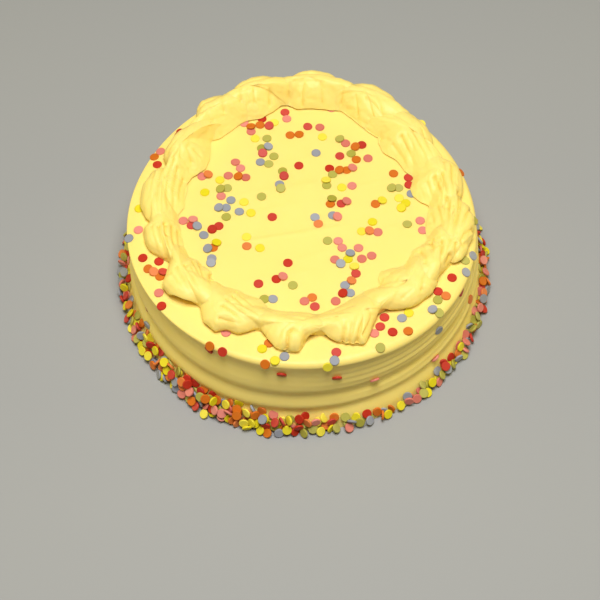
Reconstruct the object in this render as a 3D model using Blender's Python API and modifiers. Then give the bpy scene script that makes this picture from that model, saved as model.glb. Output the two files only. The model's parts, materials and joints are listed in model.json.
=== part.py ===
# Rainbow cake: a round iced cake with a piped shell border on its top
# and round confetti discs stuck to its top, its ledge and round its foot.
# Units are metres, +Z is up, the front is at -Y and the cake stands on z = 0.
# Azimuths are in degrees, seen from above and anticlockwise from +X.

import math
import random

import bmesh
import bpy
from mathutils import Matrix, Vector
from mathutils.bvhtree import BVHTree

# Driving dimensions of the iced cake
TOP_RADIUS = 0.0950
TOP_HEIGHT = 0.0530
FOOT_RADIUS = 0.1010
RIM_ROUNDING = 0.0006
RING_STEPS = 48
WALL_LEVELS = 15

# Grooves that the scraper left in the side: height, depth
WALL_GROOVES = ((0.0470, 0.0021), (0.0290, 0.0017), (0.0150, 0.0011))
GROOVE_REACH_UP = 0.0020
GROOVE_REACH_DOWN = 0.0044
GROOVE_TILT = 0.0012
WALL_UNEVENNESS = 0.0004

# Piped border, anticlockwise from the left rear. Each shell is a fan of ridges that spread
# from its low tail to its full, scalloped head, and its end lies over the start of the next.
# Start azimuth, inner radius, outer radius, height, turn of the head outwards in degrees,
# and 1 where the head is at the shell's end or -1 where it is at its start
SHELLS = (
    (134, 0.0620, 0.0870, 0.0124, 8, 1),
    (156, 0.0640, 0.0880, 0.0106, 2, -1),
    (183, 0.0660, 0.0865, 0.0104, 4, -1),
    (203, 0.0610, 0.0875, 0.0114, 8, -1),
    (227, 0.0580, 0.0868, 0.0118, 8, -1),
    (252, 0.0600, 0.0870, 0.0120, 14, 1),
    (276, 0.0605, 0.0862, 0.0118, 14, 1),
    (302, 0.0540, 0.0850, 0.0120, 12, 1),
    (328, 0.0615, 0.0880, 0.0122, 10, 1),
    (346, 0.0655, 0.0900, 0.0116, 6, 1),
    (365, 0.0600, 0.0900, 0.0120, 4, 1),
    (384, 0.0600, 0.0905, 0.0124, 8, 1),
    (412, 0.0680, 0.0925, 0.0126, 4, 1),
    (433, 0.0700, 0.0944, 0.0142, 2, 1),
    (456, 0.0705, 0.0938, 0.0136, 4, 1),
    (477, 0.0710, 0.0930, 0.0122, 4, 1),
)
SHELL_RIDGES = 12
RIDGE_DEPTH = 0.11
RIDGE_CURL = 0.35
TAIL_TUCK = 8.0
HEAD_OVERHANG = 4.5
TAIL_HEIGHT = 0.62
CROWN_BACK = 0.80
CROWN_INWARDS = 0.10
BEND = 0.035
WAVE = 0.02
LIP_HEIGHT = 0.36
LIP_RECESS = 0.07
DOME = 0.75
TOP_END = 0.7
LIP_END = 0.8
SHELL_LEVELS = (0.0, 0.25, 0.5, TOP_END, LIP_END, 1.0)
PIECE_GAP = 0.0003
CUT_GROWTH = 0.0005
CUT_LIFT = 2.5

# Confetti discs
DISC_RADIUS = 0.0025
DISC_THICKNESS = 0.0011
DISC_SIDES = 8
DISC_CLEARANCE = 0.0004
FOOT_DISCS = 70
FOOT_BAND_HEIGHT = 0.0075
FOOT_STANDOFF = (0.10, 0.80)
FOOT_YAW = 35.0
LEDGE_DISCS = 20
LEDGE_RADIUS = 0.078
LEDGE_SIDES = (130.0, 400.0)
WALL_DISCS = 6
WALL_SIDES = (200.0, 350.0)
WALL_HEIGHTS = (0.018, 0.042)
FLAT_TILT = 0.05
TRIES_PER_DISC = 40

# Clusters of discs on the top, in the open middle: x, y, spread, number
TOP_CLUSTERS = (
    (0.000, 0.066, 0.012, 6),
    (-0.022, 0.061, 0.007, 5),
    (-0.016, 0.044, 0.009, 6),
    (-0.034, 0.031, 0.008, 5),
    (0.022, 0.053, 0.010, 7),
    (0.018, 0.032, 0.009, 8),
    (0.035, 0.040, 0.006, 3),
    (0.055, 0.012, 0.009, 9),
    (0.019, 0.008, 0.009, 5),
    (0.039, 0.008, 0.010, 4),
    (0.062, -0.004, 0.004, 3),
    (0.028, -0.012, 0.010, 8),
    (0.022, -0.036, 0.009, 8),
    (0.006, -0.052, 0.005, 4),
    (-0.011, -0.038, 0.008, 5),
    (-0.051, 0.022, 0.008, 6),
    (-0.041, 0.004, 0.009, 8),
    (-0.058, -0.008, 0.005, 4),
    (-0.049, -0.021, 0.007, 6),
    (-0.028, -0.014, 0.006, 3),
    (-0.020, 0.004, 0.009, 3),
)

# Icing and its finish
ICING_COLOUR = (0.93, 0.80, 0.24, 1.0)
ICING_ROUGHNESS = 0.5

# Edges that turn by more than this stay sharp, in degrees
CAKE_SHARP = 35
SHELL_SHARP = 40

SEED = 7


def smooth_step(value):
    value = min(max(value, 0.0), 1.0)
    return value * value * (3.0 - 2.0 * value)


def new_collection(name):
    collection = bpy.data.collections.new(name)
    bpy.context.scene.collection.children.link(collection)
    return collection


def icing_material(name):
    material = bpy.data.materials.new(name)
    material.use_nodes = True
    shader = material.node_tree.nodes["Principled BSDF"]
    shader.inputs["Base Color"].default_value = ICING_COLOUR
    shader.inputs["Roughness"].default_value = ICING_ROUGHNESS
    shader.inputs["Metallic"].default_value = 0.0
    return material


def new_object(name, mesh, collection, material=None):
    thing = bpy.data.objects.new(name, mesh)
    collection.objects.link(thing)
    if material is not None:
        mesh.materials.append(material)
    return thing


def mark_as_cutter(thing):
    thing.hide_render = True
    thing.display_type = "WIRE"


def remove_objects(things):
    for thing in list(things):
        bpy.data.objects.remove(thing, do_unlink=True)


# Turn a closed mesh's faces outwards
def face_outwards(body):
    if body.calc_volume(signed=True) < 0.0:
        bmesh.ops.reverse_faces(body, faces=body.faces)


# Keep the largest connected piece of a mesh, without scraps or sealed hollows
def keep_main_body(mesh):
    body = bmesh.new()
    body.from_mesh(mesh)
    waiting = set(body.faces)
    pieces = []
    while waiting:
        piece = {waiting.pop()}
        front = list(piece)
        while front:
            face = front.pop()
            for edge in face.edges:
                for neighbour in edge.link_faces:
                    if neighbour in waiting:
                        waiting.remove(neighbour)
                        piece.add(neighbour)
                        front.append(neighbour)
        pieces.append(piece)
    main = max(pieces, key=lambda piece: sum(face.calc_area() for face in piece))
    scraps = [face for face in body.faces if face not in main]
    bmesh.ops.delete(body, geom=scraps, context="FACES")
    body.to_mesh(mesh)
    body.free()


# Replace an object's mesh by the result of its modifiers
def apply_modifiers(thing):
    bpy.context.view_layer.update()
    depsgraph = bpy.context.evaluated_depsgraph_get()
    mesh = bpy.data.meshes.new_from_object(thing.evaluated_get(depsgraph))
    thing.modifiers.clear()
    thing.data = mesh
    keep_main_body(thing.data)


def shade(thing, angle):
    thing.data.shade_smooth()
    thing.data.set_sharp_from_angle(angle=math.radians(angle))


# Radius of the iced side at a height and an azimuth
def wall_radius(height, azimuth=0.0):
    turn = math.radians(azimuth)
    drop = 1.0 - height / TOP_HEIGHT
    radius = TOP_RADIUS + (FOOT_RADIUS - TOP_RADIUS) * drop ** 3
    for number, (middle, depth) in enumerate(WALL_GROOVES):
        centre = middle + GROOVE_TILT * math.sin(turn * 2.0 + number)
        reach = GROOVE_REACH_UP if height > centre else GROOVE_REACH_DOWN
        strength = 0.8 + 0.2 * math.sin(turn * 3.0 + 2.0 * number)
        radius -= depth * strength * math.exp(-((height - centre) / reach) ** 2)
    swell = math.sin(turn * 3.0 + height * 60.0) + 0.6 * math.sin(turn * 5.0 - height * 40.0)
    return radius + WALL_UNEVENNESS * swell


# The iced cake: its side profile turned round the axis, then made uneven
def make_cake(collection):
    profile = bmesh.new()
    levels = [TOP_HEIGHT, TOP_HEIGHT - RIM_ROUNDING]
    for step in range(1, WALL_LEVELS + 1):
        levels.append((TOP_HEIGHT - 2 * RIM_ROUNDING) * (1.0 - step / WALL_LEVELS))
    verts = [profile.verts.new((wall_radius(level), 0.0, level)) for level in levels]
    for upper, lower in zip(verts, verts[1:]):
        profile.edges.new((upper, lower))
    mesh = bpy.data.meshes.new("iced_cake")
    profile.to_mesh(mesh)
    profile.free()
    cake = new_object("iced_cake", mesh, collection)

    turn = cake.modifiers.new("turn the profile", "SCREW")
    turn.steps = RING_STEPS
    turn.render_steps = RING_STEPS
    turn.use_merge_vertices = True
    turn.merge_threshold = 0.0001
    apply_modifiers(cake)
    cake.data.materials.append(icing_material("buttercream"))

    body = bmesh.new()
    body.from_mesh(cake.data)
    for vert in body.verts:
        azimuth = math.degrees(math.atan2(vert.co.y, vert.co.x))
        radius = wall_radius(vert.co.z, azimuth)
        if vert.co.z > TOP_HEIGHT - 0.5 * RIM_ROUNDING:
            radius -= RIM_ROUNDING
        vert.co.x = radius * math.cos(math.radians(azimuth))
        vert.co.y = radius * math.sin(math.radians(azimuth))
    bmesh.ops.holes_fill(body, edges=[edge for edge in body.edges if edge.is_boundary], sides=0)
    face_outwards(body)
    body.to_mesh(cake.data)
    body.free()
    return cake


# Where a shell lies round the border: its first and last azimuth
def shell_reach(number):
    start = SHELLS[number][0]
    end = SHELLS[(number + 1) % len(SHELLS)][0]
    if end < start:
        end += 360
    return math.radians(start - TAIL_TUCK), math.radians(end + HEAD_OVERHANG)


# How much of a ridge's valley shows in a direction: none behind the tail, most outwards
def valley_strength(direction, number):
    ahead = smooth_step(0.76 + 0.75 * math.cos(direction))
    outwards = 0.55 + 0.6 * smooth_step(0.55 + 0.5 * math.sin(direction))
    return RIDGE_DEPTH * ahead * outwards * (0.8 + 0.25 * math.sin(direction * 3.0 + number))


# A point on a shell. down runs over the top from the tail's crown at 0, past the outline
# and under the lip, to the middle of its base at 1. around picks one of its ridges or valleys.
# growth makes the whole shell larger, on its underside too.
def shell_point(number, down, around, valley, growth):
    inner, outer, height, turn, way = SHELLS[number][1:]
    first, last = shell_reach(number)
    middle = (inner + outer) / 2.0
    half_width = (outer - inner) / 2.0 + growth
    half_length = (last - first) / 2.0 * middle + growth

    slope = min(down / TOP_END, 1.0) * math.pi / 2.0
    under = min(max((down - TOP_END) / (LIP_END - TOP_END), 0.0), 1.0)
    home = max((down - LIP_END) / (1.0 - LIP_END), 0.0)
    spread = math.sin(slope) ** DOME

    direction = around + 0.4 * number + 0.10 * math.sin(2.0 * around + number)
    direction += RIDGE_CURL * (1.0 - spread)
    groove = valley * valley_strength(direction, number)
    size = 1.0 + BEND * math.sin(2.0 * direction + number) + WAVE * math.sin(5.0 * direction + number)
    size -= groove
    if down > TOP_END:
        spread = (1.0 - (LIP_RECESS + groove) * under) * (1.0 - home)
    crown = Vector((-CROWN_BACK * half_length, -CROWN_INWARDS * half_width))
    outline = Vector((half_length * math.cos(direction) * size, half_width * math.sin(direction) * size))
    spot = crown + (outline - crown) * spread

    swell = TAIL_HEIGHT + (1.0 - TAIL_HEIGHT) * smooth_step((spot.x / half_length + 1.0) / 1.1)
    if down > TOP_END:
        level = LIP_HEIGHT * (1.0 - under)
    else:
        level = LIP_HEIGHT + (1.0 - LIP_HEIGHT) * max(math.cos(slope), 0.0) ** DOME
    lift = (height + CUT_LIFT * growth) * swell * level * (1.0 - 1.3 * groove * min(1.0, 1.4 * spread))

    spot.rotate(Matrix.Rotation(math.radians(turn), 2))
    azimuth = (first + last) / 2.0 + way * spot.x / middle
    radius = middle + spot.y
    base = TOP_HEIGHT + PIECE_GAP - growth
    return Vector((radius * math.cos(azimuth), radius * math.sin(azimuth), base + lift))


# One shell: a sphere whose poles become the tail's crown and the middle of the base,
# and whose meridians become ridges and valleys by turns
def shell_mesh(number, growth=0.0):
    body = bmesh.new()
    rings = len(SHELL_LEVELS) - 1
    bmesh.ops.create_uvsphere(body, u_segments=2 * SHELL_RIDGES, v_segments=rings, radius=1.0)
    for vert in body.verts:
        ring = round(math.acos(max(-1.0, min(1.0, vert.co.z))) / math.pi * rings)
        around = math.atan2(vert.co.y, vert.co.x)
        meridian = round(around / math.pi * SHELL_RIDGES)
        vert.co = shell_point(number, SHELL_LEVELS[ring], around, meridian % 2, growth)
    bmesh.ops.triangulate(body, faces=body.faces)
    face_outwards(body)
    mesh = bpy.data.meshes.new("shell")
    body.to_mesh(mesh)
    body.free()
    return mesh


# The border: a copy of each shell, grown a little, clears its place in the next one's start.
# The exact solver loses one of the shells here, so the cuts use the manifold solver.
def make_shells(collection, cutters):
    shells = []
    for number in range(len(SHELLS)):
        name = f"shell_{number + 1:02d}"
        shells.append(new_object(name, shell_mesh(number), collection, icing_material(name + "_icing")))
    heads = []
    for number in range(len(SHELLS)):
        head = new_object("grown_shell", shell_mesh(number, CUT_GROWTH), cutters)
        mark_as_cutter(head)
        heads.append(head)
    for number, shell in enumerate(shells):
        cut = shell.modifiers.new("under the shell before it", "BOOLEAN")
        cut.operation = "DIFFERENCE"
        cut.solver = "MANIFOLD"
        cut.object = heads[number - 1]
    for shell in shells:
        apply_modifiers(shell)
        shade(shell, SHELL_SHARP)
    return shells


# A confetti disc at a place, its flat side facing a direction
def make_disc(place, facing, collection):
    body = bmesh.new()
    bmesh.ops.create_cone(
        body, cap_ends=True, segments=DISC_SIDES,
        radius1=DISC_RADIUS, radius2=DISC_RADIUS, depth=DISC_THICKNESS)
    mesh = bpy.data.meshes.new("disc")
    body.to_mesh(mesh)
    body.free()
    disc = new_object("disc", mesh, collection)
    disc.rotation_euler = facing.to_track_quat("Z", "Y").to_euler()
    disc.location = place
    return disc


def on_circle(radius, azimuth, height):
    turn = math.radians(azimuth)
    return Vector((radius * math.cos(turn), radius * math.sin(turn), height))


# Whether a place is clear of the shells and of the discs already there
def is_clear(place, shell_trees, taken, spacing):
    for tree in shell_trees:
        if tree.find_nearest(place, DISC_RADIUS + DISC_CLEARANCE)[0] is not None:
            return False
    return all((place - other).length > spacing for other in taken)


# Discs lying on the top: in clusters inside the border and singly on the ledge outside it
def top_places(draw, shell_trees):
    height = TOP_HEIGHT + 0.1 * DISC_THICKNESS
    spacing = 2.0 * DISC_RADIUS + DISC_CLEARANCE
    taken = []
    for x, y, spread, number in TOP_CLUSTERS:
        found = 0
        for _ in range(TRIES_PER_DISC * number):
            place = Vector((draw.gauss(x, spread / 2.0), draw.gauss(y, spread / 2.0), height))
            if found < number and is_clear(place, shell_trees, taken, spacing):
                taken.append(place)
                found += 1
    ledge = 0
    while ledge < LEDGE_DISCS:
        radius = draw.uniform(LEDGE_RADIUS, TOP_RADIUS - DISC_RADIUS - 2.0 * RIM_ROUNDING)
        place = on_circle(radius, draw.uniform(*LEDGE_SIDES), height)
        if is_clear(place, shell_trees, taken, spacing):
            taken.append(place)
            ledge += 1
    return taken


# How far a disc's centre stands out from the side: its rim still reaches into the icing
def stand_off(draw, facing, outwards):
    lean = facing.angle(outwards)
    reach = DISC_RADIUS * math.sin(lean) + DISC_THICKNESS / 2.0 * math.cos(lean)
    return reach * draw.uniform(*FOOT_STANDOFF)


# Discs stuck round the foot, leaning at many angles, and a few on the side above them
def foot_places(draw):
    places = []
    for number in range(FOOT_DISCS):
        azimuth = 360.0 * (number + draw.uniform(-0.3, 0.3)) / FOOT_DISCS
        height = DISC_RADIUS + PIECE_GAP + FOOT_BAND_HEIGHT * draw.random() ** 1.6
        facing = on_circle(1.0, azimuth + draw.uniform(-FOOT_YAW, FOOT_YAW), draw.uniform(-0.1, 1.1))
        radius = wall_radius(height, azimuth) + stand_off(draw, facing, on_circle(1.0, azimuth, 0.0))
        places.append((on_circle(radius, azimuth, height), facing))
    for number in range(WALL_DISCS):
        share = (number + draw.random()) / WALL_DISCS
        azimuth = WALL_SIDES[0] + (WALL_SIDES[1] - WALL_SIDES[0]) * share
        height = draw.uniform(*WALL_HEIGHTS)
        place = on_circle(wall_radius(height, azimuth) - 0.0001, azimuth, height)
        places.append((place, on_circle(1.0, azimuth, 0.0)))
    return places


# Fuse the discs to the icing in one union
def add_discs(cake, shells, cutters):
    draw = random.Random(SEED)
    shell_trees = []
    for shell in shells:
        body = bmesh.new()
        body.from_mesh(shell.data)
        shell_trees.append(BVHTree.FromBMesh(body))
        body.free()
    for place in top_places(draw, shell_trees):
        tilt = Vector((draw.uniform(-FLAT_TILT, FLAT_TILT), draw.uniform(-FLAT_TILT, FLAT_TILT), 1.0))
        make_disc(place, tilt, cutters)
    for place, facing in foot_places(draw):
        make_disc(place, facing, cutters)
    fuse = cake.modifiers.new("fuse the discs", "BOOLEAN")
    fuse.operation = "UNION"
    fuse.solver = "EXACT"
    fuse.operand_type = "COLLECTION"
    fuse.collection = cutters
    apply_modifiers(cake)
    remove_objects(cutters.objects)


def main():
    remove_objects(bpy.data.objects)
    parts = new_collection("rainbow_cake")
    heads = new_collection("shell_cutters")
    discs = new_collection("confetti_discs")
    cake = make_cake(parts)
    shells = make_shells(parts, heads)
    add_discs(cake, shells, discs)
    shade(cake, CAKE_SHARP)


main()
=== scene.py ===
# Rainbow cake: a round cake in pale yellow buttercream with a piped shell border
# and round confetti discs on its top, its ledge and its side, and in a band round its foot.
# Metres, +Z up, the front is at -Y. Azimuths are degrees seen from above, anticlockwise from +X.
import json
import math
import random

import bpy
import numpy as np
from mathutils import Matrix, Vector
from mathutils.bvhtree import BVHTree

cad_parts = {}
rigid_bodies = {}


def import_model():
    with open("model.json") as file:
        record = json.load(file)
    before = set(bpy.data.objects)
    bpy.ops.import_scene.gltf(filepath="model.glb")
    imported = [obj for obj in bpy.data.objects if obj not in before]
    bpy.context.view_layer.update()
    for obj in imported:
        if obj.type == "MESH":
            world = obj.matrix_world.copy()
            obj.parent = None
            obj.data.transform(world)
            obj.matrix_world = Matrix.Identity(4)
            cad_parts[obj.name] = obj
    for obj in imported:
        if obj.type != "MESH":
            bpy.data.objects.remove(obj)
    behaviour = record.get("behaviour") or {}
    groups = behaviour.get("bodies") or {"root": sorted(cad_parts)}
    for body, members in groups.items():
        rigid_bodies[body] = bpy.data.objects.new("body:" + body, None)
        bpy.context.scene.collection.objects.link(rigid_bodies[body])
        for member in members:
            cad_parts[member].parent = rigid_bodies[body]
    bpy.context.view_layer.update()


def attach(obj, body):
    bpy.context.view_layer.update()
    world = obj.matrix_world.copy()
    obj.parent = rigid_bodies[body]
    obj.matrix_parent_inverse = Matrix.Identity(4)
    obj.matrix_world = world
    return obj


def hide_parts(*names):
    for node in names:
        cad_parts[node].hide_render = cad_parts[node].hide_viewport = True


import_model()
mm = 0.001


# small helpers

def deselectAll():
    bpy.ops.object.select_all(action="DESELECT")


def selectOnly(piece):
    deselectAll()
    piece.select_set(True)
    bpy.context.view_layer.objects.active = piece


def newObject(name, data):
    piece = bpy.data.objects.new(name, data)
    bpy.context.collection.objects.link(piece)
    return piece


def editMode(piece):
    selectOnly(piece)
    bpy.ops.object.mode_set(mode="EDIT")
    bpy.ops.mesh.select_all(action="SELECT")


def objectMode():
    bpy.ops.object.mode_set(mode="OBJECT")


def vectorsOf(items, key):
    vectors = np.empty(len(items) * 3, np.float32)
    items.foreach_get(key, vectors)
    return vectors.reshape(-1, 3).astype(float)


def movePoints(piece, places):
    piece.data.vertices.foreach_set("co", np.asarray(places, np.float32).ravel())
    piece.data.update()


def paintPoints(piece, name, values):
    attribute = piece.data.attributes.new(name, "FLOAT", "POINT")
    attribute.data.foreach_set("value", np.asarray(values, np.float32))


def smoothStep(value):
    value = np.clip(value, 0.0, 1.0)
    return value * value * (3.0 - 2.0 * value)


def between(low, high, share):
    return low + (high - low) * share


def onCircle(radius, azimuth, height):
    turn = math.radians(azimuth)
    return Vector((radius * math.cos(turn), radius * math.sin(turn), height))


def treeOf(piece):
    mesh = piece.data
    return BVHTree.FromPolygons([v.co for v in mesh.vertices], [p.vertices for p in mesh.polygons])


# materials

# a socket takes a link from another socket, or a plain value
def feed(tree, socket, value):
    if isinstance(value, bpy.types.NodeSocket):
        tree.links.new(value, socket)
    else:
        socket.default_value = value


def linkedNode(tree, kind, **inputs):
    node = tree.nodes.new(kind)
    for name, value in inputs.items():
        feed(tree, node.inputs[name], value)
    return node


def calculate(tree, operation, first, second):
    node = tree.nodes.new("ShaderNodeMath")
    node.operation = operation
    feed(tree, node.inputs[0], first)
    feed(tree, node.inputs[1], second)
    return node.outputs[0]


def blendColours(tree, share, first, second):
    node = tree.nodes.new("ShaderNodeMix")
    node.data_type = "RGBA"
    colours = [socket for socket in node.inputs if socket.type == "RGBA"]
    for socket, value in zip((node.inputs[0], *colours), (share, first, second)):
        feed(tree, socket, value)
    return [socket for socket in node.outputs if socket.type == "RGBA"][0]


def noise(tree, vector, scale, detail=2.0):
    return linkedNode(tree, "ShaderNodeTexNoise", Vector=vector, Scale=scale, Detail=detail).outputs[0]


def stretch(tree, vector, scale):
    return linkedNode(tree, "ShaderNodeMapping", Vector=vector, Scale=scale).outputs[0]


# least + spread * value
def ranged(tree, value, spread, least):
    return calculate(tree, "ADD", calculate(tree, "MULTIPLY", value, spread), least)


# a group gives a colour, a roughness and a relief with this strength and height
def openGroup(name, inputs):
    group = bpy.data.node_groups.new(name, "ShaderNodeTree")
    outputs = {"Colour": "Color", "Roughness": "Float", "Normal": "Vector"}
    for way, sockets in (("INPUT", inputs), ("OUTPUT", outputs)):
        for label, kind in sockets.items():
            group.interface.new_socket(name=label, in_out=way, socket_type="NodeSocket" + kind)
    return group, group.nodes.new("NodeGroupInput").outputs


def closeGroup(group, colour, roughness, relief, strength, height):
    bump = linkedNode(group, "ShaderNodeBump", Height=relief, Strength=strength, Distance=height)
    result = group.nodes.new("NodeGroupOutput")
    for socket, value in zip(result.inputs, (colour, roughness, bump.outputs[0])):
        feed(group, socket, value)
    return group


icing = {
    "colour": (0.94, 0.735, 0.208, 1.0),
    # painted shade: the darker warm colour put into the grooves of the piping; the random mottling also
    # blends towards it
    "shadeAndMottleColour": (0.89, 0.61, 0.115, 1.0),
    "shine": 0.32,
    "glow": 0.22,  # how much light goes into the cream
    "glowReach": 0.004,
    "glowColour": (1.0, 0.8, 0.35),  # how far each colour of it goes
    "clouds": 38.0,  # scale of the soft mottling, and how strong it is
    "mottling": 0.22,
    "roughness": (0.2, 0.38),  # spread and least
    # scale and height of each layer of the relief
    "fineGrain": (1400.0, 0.16),
    "softGrain": (260.0, 0.45),
    "airHoles": (240.0, 0.30),
    "holeEdge": 9.0,
    "dragLines": (14.0, 14.0, 620.0),
    "bump": (0.5, 0.16 * mm),  # strength and height
}


# Whipped icing: soft mottling, painted shade in the grooves, drag lines along the side and fine air holes
def creamFinish():
    group, given = openGroup("cream finish", {
        "Vector": "Vector", "Colour": "Color", "Shade And Mottle Colour": "Color",
        "Painted_shade": "Float", "Drag": "Float"})
    where = given["Vector"]
    cloudy = calculate(group, "MULTIPLY", noise(group, where, icing["clouds"]), icing["mottling"])
    mottled = blendColours(group, cloudy, given["Colour"], given["Shade And Mottle Colour"])
    # painted shade: the grooves are darkened towards the warm shade colour
    grooveShaded = blendColours(group, given["Painted_shade"], mottled, given["Shade And Mottle Colour"])

    fineScale, fineHeight = icing["fineGrain"]
    softScale, softHeight = icing["softGrain"]
    holeScale, holeHeight = icing["airHoles"]
    fine = noise(group, where, fineScale, 3.0)
    soft = noise(group, where, softScale)
    drag = noise(group, stretch(group, where, icing["dragLines"]), 1.0, 3.0)
    holes = linkedNode(group, "ShaderNodeTexVoronoi", Vector=where, Scale=holeScale).outputs["Distance"]
    pricked = calculate(group, "MINIMUM", calculate(group, "MULTIPLY", holes, icing["holeEdge"]), 1.0)
    height = calculate(group, "MULTIPLY", drag, given["Drag"])
    for layer, amount in ((fine, fineHeight), (soft, softHeight), (pricked, holeHeight)):
        height = calculate(group, "ADD", height, calculate(group, "MULTIPLY", layer, amount))
    roughness = ranged(group, soft, *icing["roughness"])
    return closeGroup(group, grooveShaded, roughness, height, *icing["bump"])


pressedSugar = {
    "shine": 0.3,
    # spread and least, from disc to disc
    "brightness": (0.22, 0.89),
    "saturation": (-0.14, 1.07),
    "roughness": (0.25, 0.4),
    "powder": 0.015,  # share of the powder's colour
    "powderColour": (1.0, 0.96, 0.88, 1.0),
    "patches": 420.0,
    "grain": 2600.0,
    "bump": (0.35, 0.08 * mm),  # strength and height
}


# Pressed sugar: a slightly different tone for each disc and a fine grain
def sugarFinish():
    group, given = openGroup("sugar finish", {"Vector": "Vector", "Colour": "Color", "Tone": "Float"})
    brightness = ranged(group, given["Tone"], *pressedSugar["brightness"])
    saturation = ranged(group, given["Tone"], *pressedSugar["saturation"])
    toned = linkedNode(group, "ShaderNodeHueSaturation",
                       Color=given["Colour"], Value=brightness, Saturation=saturation)
    grain = noise(group, given["Vector"], pressedSugar["grain"], 3.0)
    patches = noise(group, given["Vector"], pressedSugar["patches"])
    powder = calculate(group, "MULTIPLY", patches, pressedSugar["powder"])
    dusted = blendColours(group, powder, toned.outputs[0], pressedSugar["powderColour"])
    roughness = ranged(group, grain, *pressedSugar["roughness"])
    return closeGroup(group, dusted, roughness, grain, *pressedSugar["bump"])


# a material whose group also reads the values that the mesh's points carry under this name
def finishedMaterial(name, group, painted, groupValues, shaderValues):
    material = bpy.data.materials.new(name)
    material.use_nodes = True
    tree = material.node_tree
    shader = tree.nodes["Principled BSDF"]
    finish = tree.nodes.new("ShaderNodeGroup")
    finish.node_tree = group
    place = tree.nodes.new("ShaderNodeTexCoord")
    tree.links.new(place.outputs["Object"], finish.inputs["Vector"])
    reader = tree.nodes.new("ShaderNodeAttribute")
    reader.attribute_name = painted
    tree.links.new(reader.outputs["Fac"], finish.inputs[painted.capitalize()])
    for given, taken in (("Colour", "Base Color"), ("Roughness", "Roughness"), ("Normal", "Normal")):
        tree.links.new(finish.outputs[given], shader.inputs[taken])
    for node, values in ((finish, groupValues), (shader, shaderValues)):
        for socket, value in values.items():
            node.inputs[socket].default_value = value
    return material


def icingMaterial(name, finish, drag):
    return finishedMaterial(
        # the points carry how much painted shade darkens the grooves
        name, finish, "painted_shade",
        {"Colour": icing["colour"], "Shade And Mottle Colour": icing["shadeAndMottleColour"], "Drag": drag},
        {"Specular IOR Level": icing["shine"], "Subsurface Weight": icing["glow"],
         "Subsurface Scale": icing["glowReach"], "Subsurface Radius": icing["glowColour"]})


# the iced body

icedBody = {
    "topRadius": 95.0 * mm,
    "topHeight": 53.0 * mm,
    "footRadius": 101.0 * mm,
    "ringSteps": 360,
    "wallRows": 66,
    "rimRows": 6,
    "topRows": 88,
    "crispRim": 0.6 * mm,  # rounding of the rim at the left and the front
    "softRim": 3.0 * mm,  # and at the right
    "softSide": 335.0,
    # each band that the scraper left: height and depth of its deepest line, its reach up and down
    "grooves": (
        (49.6 * mm, 1.1 * mm, 1.7 * mm, 5.0 * mm),
        (43.5 * mm, 2.2 * mm, 5.4 * mm, 8.0 * mm),
        (25.5 * mm, 2.6 * mm, 3.6 * mm, 5.0 * mm),
        (12.0 * mm, 1.8 * mm, 3.4 * mm, 4.0 * mm),
    ),
    "grooveTilt": 1.2 * mm,  # how far a band rises and falls round the cake
    "unevenness": 0.4 * mm,
    "fineRings": 0.28 * mm,  # the thin rings beside each other at the right
    "strokeAngle": 13.0,  # way the spatula went over the top
    # each stroke's edge in mm: distance from the middle, start and end along it, height
    "strokes": ((-8.9, -36.0, 24.0, 0.60), (-25.0, -24.0, 34.0, 0.16), (9.0, -50.0, 6.0, 0.16),
                (23.0, -40.0, 40.0, 0.20), (38.0, -20.0, 30.0, 0.16), (-34.0, -46.0, 4.0, 0.16),
                (15.0, 14.0, 58.0, 0.16), (-16.0, 26.0, 60.0, 0.16)),
    "topUnevenness": 0.3 * mm,
    "strokeFade": 4.0 * mm,  # the strokes run out this far from the rim
    "shoulder": 84.0 * mm,  # where the ledge starts to fall towards the rim
    "shoulderDrops": (0.3 * mm, 1.8 * mm),  # its fall at the rim, at the front and at the sides
    "shoulderDepth": 9.0 * mm,  # how far down the side the fall is felt
    "plainRim": 2.0 * mm,  # rim of the drum that it is shaped from
}


# radius of the iced side at a height and an azimuth in radians
def wallRadius(height, turn):
    drop = 1.0 - height / icedBody["topHeight"]
    radius = between(icedBody["topRadius"], icedBody["footRadius"], drop ** 3)
    for number, (middle, depth, reachUp, reachDown) in enumerate(icedBody["grooves"]):
        centre = middle + icedBody["grooveTilt"] * np.sin(turn * 2.0 + number)
        reach = np.where(height > centre, reachUp, reachDown)
        strength = 0.8 + 0.2 * np.sin(turn * 3.0 + 2.0 * number)
        radius = radius - depth * strength * np.exp(-((height - centre) / reach) ** 2)
    swell = np.sin(turn * 3.0 + height * 60.0) + 0.6 * np.sin(turn * 5.0 - height * 40.0)
    radius = radius + icedBody["unevenness"] * swell
    ringed = smoothStep(1.4 * np.cos(turn - math.radians(icedBody["softSide"])) - 0.5)
    rings = np.sin(height * 1500.0 + 1.5 * np.sin(turn * 4.0)) * smoothStep((height - 0.012) / 0.01)
    return radius + icedBody["fineRings"] * rings * (0.06 + 0.94 * ringed)


# height of the spatula's marks on the top
def topRelief(x, y):
    angle = math.radians(icedBody["strokeAngle"])
    along = (x * math.cos(angle) + y * math.sin(angle)) / mm
    across = (y * math.cos(angle) - x * math.sin(angle)) / mm
    relief = np.zeros_like(x)
    for middle, start, end, height in icedBody["strokes"]:
        off = across - middle - 1.2 * np.sin(along / 19.0 + middle)
        edge = np.where(off > 0, np.exp(-off / 0.9), np.exp(off / 5.0))
        reach = smoothStep((along - start) / 12.0) * smoothStep((end - along) / 12.0)
        relief += height * mm * edge * reach
    waves = np.sin(across / 7.5 + 0.8 * np.sin(along / 23.0)) + 0.7 * np.sin(along / 14.0 + across / 17.0)
    return relief + 0.5 * icedBody["topUnevenness"] * waves


# how far the ledge has fallen at a distance from the axis
def shoulderDrop(away, turn, edge):
    drop = between(*icedBody["shoulderDrops"], np.cos(turn) ** 2)
    run = np.clip((away - icedBody["shoulder"]) / (edge - icedBody["shoulder"]), 0.0, 1.0)
    return drop * run ** 1.6


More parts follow.
